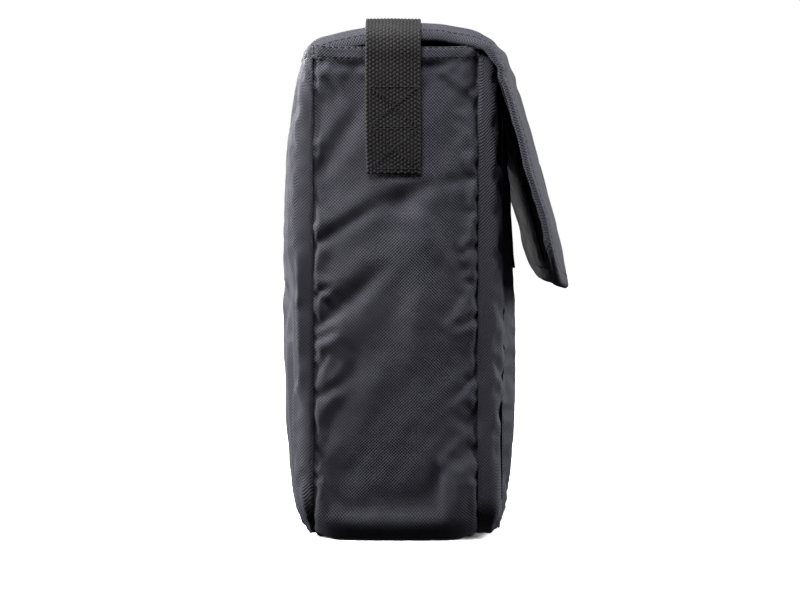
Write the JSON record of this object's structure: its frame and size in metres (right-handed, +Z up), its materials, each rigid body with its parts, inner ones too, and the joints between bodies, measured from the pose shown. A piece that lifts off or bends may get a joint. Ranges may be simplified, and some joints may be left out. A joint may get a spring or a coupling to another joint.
{
  "type": "telescope carry case",
  "caption": "Upright padded fabric carry case for a tabletop telescope, with a fold-over flap, a front pocket, an inner divider and a webbing carry strap.",
  "frame": {"origin": "on the surface the case stands on, at the middle of the gusset's flat bottom", "axes": "+Z up, -Y to the front where the pocket and the flap are, X along the width"},
  "size_m": [0.307, 0.2062, 0.3605],
  "materials": {
    "shell_cloth": "coarse woven oxford cloth",
    "trim_cloth": "coarse woven oxford cloth",
    "lining_cloth": "thin plain weave",
    "foam": "closed-cell foam",
    "board": "plain sheet",
    "binding": "grosgrain tape",
    "webbing": "woven webbing",
    "thread": "twisted thread",
    "hook_tape": "hook tape",
    "loop_tape": "loop tape"
  },
  "bodies": {
    "case": {"back_panel_cover": "shell_cloth", "back_panel_foam": "foam", "back_panel_lining": "lining_cloth", "front_panel_cover": "shell_cloth", "front_panel_foam": "foam", "front_panel_lining": "lining_cloth", "gusset_cover": "shell_cloth", "side_foam_left": "foam", "side_foam_right": "foam", "bottom_board": "board", "bottom_foam": "foam", "gusset_lining": "lining_cloth", "front_seam_tape": "binding", "back_seam_tape": "binding", "front_pocket_panel": "shell_cloth", "front_pocket_gusset": "shell_cloth", "front_pocket_hem": "trim_cloth", "pocket_hook_tapes": "hook_tape", "strap_end_left": "webbing", "strap_end_right": "webbing", "strap_stitching_left": "thread", "strap_stitching_right": "thread"},
    "flap_top": {"flap_top_cover": "shell_cloth", "flap_top_stiffener": "foam", "flap_top_lining": "lining_cloth"},
    "flap_front": {"flap_front_cover": "shell_cloth", "flap_front_stiffener": "foam", "flap_front_lining": "lining_cloth", "flap_loop_tapes": "loop_tape", "flap_patch": "trim_cloth"},
    "handle": {"carry_strap_span": "webbing"},
    "divider": {"divider_foam": "foam", "divider_cover": "lining_cloth", "divider_hook_tapes": "hook_tape"}
  },
  "joints": [
    {"name": "flap_open", "type": "hinge", "parent": "case", "child": "flap_top", "pos_m": [0, 0.0605, 0.3478], "axis": [-1, 0, 0], "range_deg": [0, 180], "deforming": ["carry_strap_span"]},
    {"name": "flap_fold", "type": "hinge", "parent": "flap_top", "child": "flap_front", "pos_m": [0, -0.079, 0.3395], "axis": [-1, 0, 0], "range_deg": [-4, 110]},
    {"name": "handle_lift", "type": "slide", "parent": "case", "child": "handle", "axis": [0, 0, 1], "range_m": [0, 0.035], "deforming": ["carry_strap_span"]},
    {"name": "divider_shift", "type": "slide", "parent": "case", "child": "divider", "axis": [1, 0, 0], "range_m": [-0.04, 0.04]}
  ]
}
